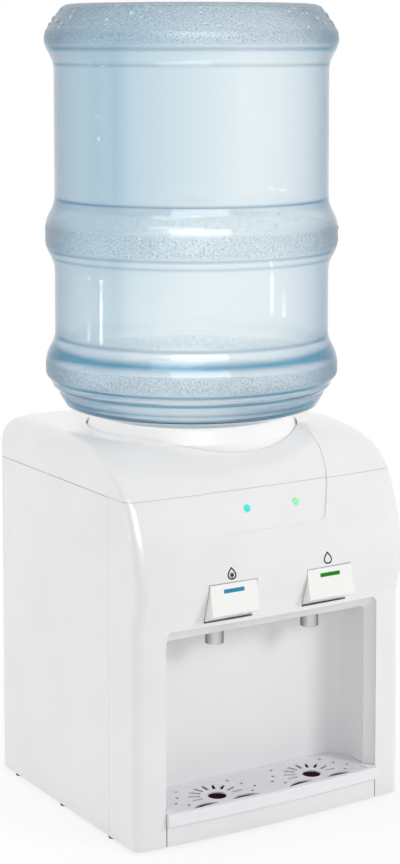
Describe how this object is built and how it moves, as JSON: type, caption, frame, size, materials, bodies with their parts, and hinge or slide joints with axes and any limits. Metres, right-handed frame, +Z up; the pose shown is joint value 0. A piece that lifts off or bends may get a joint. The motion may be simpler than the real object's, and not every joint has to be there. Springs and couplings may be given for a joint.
{
  "type": "countertop water dispenser",
  "caption": "White countertop cooler with an inverted water bottle on top, push paddles over an open alcove, and a drip tray with a pierced grille.",
  "frame": {"origin": "middle of the whole outline, on the table under the feet", "axes": "X to the viewer's right, Y to the back, Z up"},
  "size_m": [0.2812, 0.291, 0.7265],
  "materials": {
    "shell_white": "glossy moulded",
    "liner_white": "satin moulded",
    "tray_white": "satin moulded",
    "tray_grey": "satin moulded",
    "paddle_white": "glossy moulded",
    "bar_blue": "printed insert",
    "bar_green": "printed insert",
    "lamp_cyan": "lit lens",
    "lamp_green": "lit lens",
    "bottle_blue": "clear tinted polycarbonate",
    "cap_blue": "moulded",
    "spout_clear": "translucent",
    "inner_plastic": "moulded",
    "seal_rubber": "moulded",
    "silicone": "extruded hose",
    "foam_white": "expanded foam",
    "steel": "plain",
    "aluminium": "mill",
    "module_white": "ceramic faced",
    "fan_black": "moulded",
    "board_green": "laminate",
    "component_black": "moulded"
  },
  "bodies": {
    "cabinet": {"top_cover": "shell_white", "front_fascia": "shell_white", "side_panel_left": "shell_white", "side_panel_right": "shell_white", "rear_panel": "shell_white", "base_pan": "shell_white", "alcove_liner": "liner_white", "rear_screws": "steel", "rubber_feet": "seal_rubber", "cold_led": "lamp_cyan", "power_led": "lamp_green", "tank_shell": "inner_plastic", "tank_lid": "inner_plastic", "tank_baffle": "inner_plastic", "lid_gasket": "silicone", "tank_insulation": "foam_white", "tank_stand": "inner_plastic", "cold_block": "aluminium", "peltier_module": "module_white", "heat_sink": "aluminium", "fan_frame": "fan_black", "led_board": "board_green", "power_board": "board_green", "board_parts": "component_black", "cord_gland": "component_black", "switch_bezel": "component_black", "drain_hose": "silicone", "drain_fitting": "inner_plastic", "cold_hose": "silicone", "room_hose": "silicone", "cold_hinge_pin": "steel", "cold_valve_body": "inner_plastic", "cold_valve_plug": "inner_plastic", "cold_spout": "spout_clear", "room_hinge_pin": "steel", "room_valve_body": "inner_plastic", "room_valve_plug": "inner_plastic", "room_spout": "spout_clear"},
    "cold_paddle": {"cold_paddle": "paddle_white", "cold_bar": "bar_blue"},
    "room_paddle": {"room_paddle": "paddle_white", "room_bar": "bar_green"},
    "cold_stem": {"cold_stem": "inner_plastic", "cold_seal": "seal_rubber", "cold_spring": "steel"},
    "room_stem": {"room_stem": "inner_plastic", "room_seal": "seal_rubber", "room_spring": "steel"},
    "fan": {"fan_rotor": "fan_black"},
    "rocker": {"switch_rocker": "component_black"},
    "tray": {"drip_tray": "tray_white", "tray_trim": "tray_white"},
    "grille": {"drip_grille": "tray_grey"},
    "seat": {"bottle_seat": "shell_white", "feed_probe": "inner_plastic"},
    "bottle": {"bottle": "bottle_blue", "bottle_cap": "cap_blue"},
    "drain_cap": {"drain_cap": "inner_plastic"}
  },
  "joints": [
    {"name": "cold_paddle_push", "type": "hinge", "parent": "cabinet", "child": "cold_paddle", "pos_m": [-0.0505, -0.13071, 0.224], "axis": [1, 0, 0], "range_deg": [0, 9], "stiffness_Nm_per_rad": 0.35, "springref_deg": -8.59},
    {"name": "cold_valve_slide", "type": "slide", "parent": "cabinet", "child": "cold_stem", "axis": [0, 1, 0], "range_m": [0, 0.00326], "deforming": ["cold_spring"]},
    {"name": "room_paddle_push", "type": "hinge", "parent": "cabinet", "child": "room_paddle", "pos_m": [0.0505, -0.13071, 0.224], "axis": [1, 0, 0], "range_deg": [0, 9], "stiffness_Nm_per_rad": 0.35, "springref_deg": -8.59},
    {"name": "room_valve_slide", "type": "slide", "parent": "cabinet", "child": "room_stem", "axis": [0, 1, 0], "range_m": [0, 0.00326], "deforming": ["room_spring"]},
    {"name": "fan_spin", "type": "hinge", "parent": "cabinet", "child": "fan", "pos_m": [0, 0.105, 0.12], "axis": [0, 1, 0], "continuous": true},
    {"name": "switch_rock", "type": "hinge", "parent": "cabinet", "child": "rocker", "pos_m": [0.06, 0.127, 0.04], "axis": [1, 0, 0], "range_deg": [0, 24]},
    {"name": "tray_slide", "type": "slide", "parent": "cabinet", "child": "tray", "axis": [0, -1, 0], "range_m": [0, 0.07]},
    {"name": "grille_lift", "type": "slide", "parent": "tray", "child": "grille", "axis": [0, 0, 1], "range_m": [0, 0.04]},
    {"name": "seat_lift", "type": "slide", "parent": "cabinet", "child": "seat", "axis": [0, 0, 1], "range_m": [0, 0.14]},
    {"name": "bottle_lift", "type": "slide", "parent": "seat", "child": "bottle", "axis": [0, 0, 1], "range_m": [0, 0.13]},
    {"name": "drain_cap_pull", "type": "slide", "parent": "cabinet", "child": "drain_cap", "axis": [0, 1, 0], "range_m": [0, 0.02]}
  ],
  "couplings": [
    {"joint": "cold_valve_slide", "follows": "cold_paddle_push", "m_per_rad": 0.0201},
    {"joint": "room_valve_slide", "follows": "room_paddle_push", "m_per_rad": 0.0201}
  ]
}
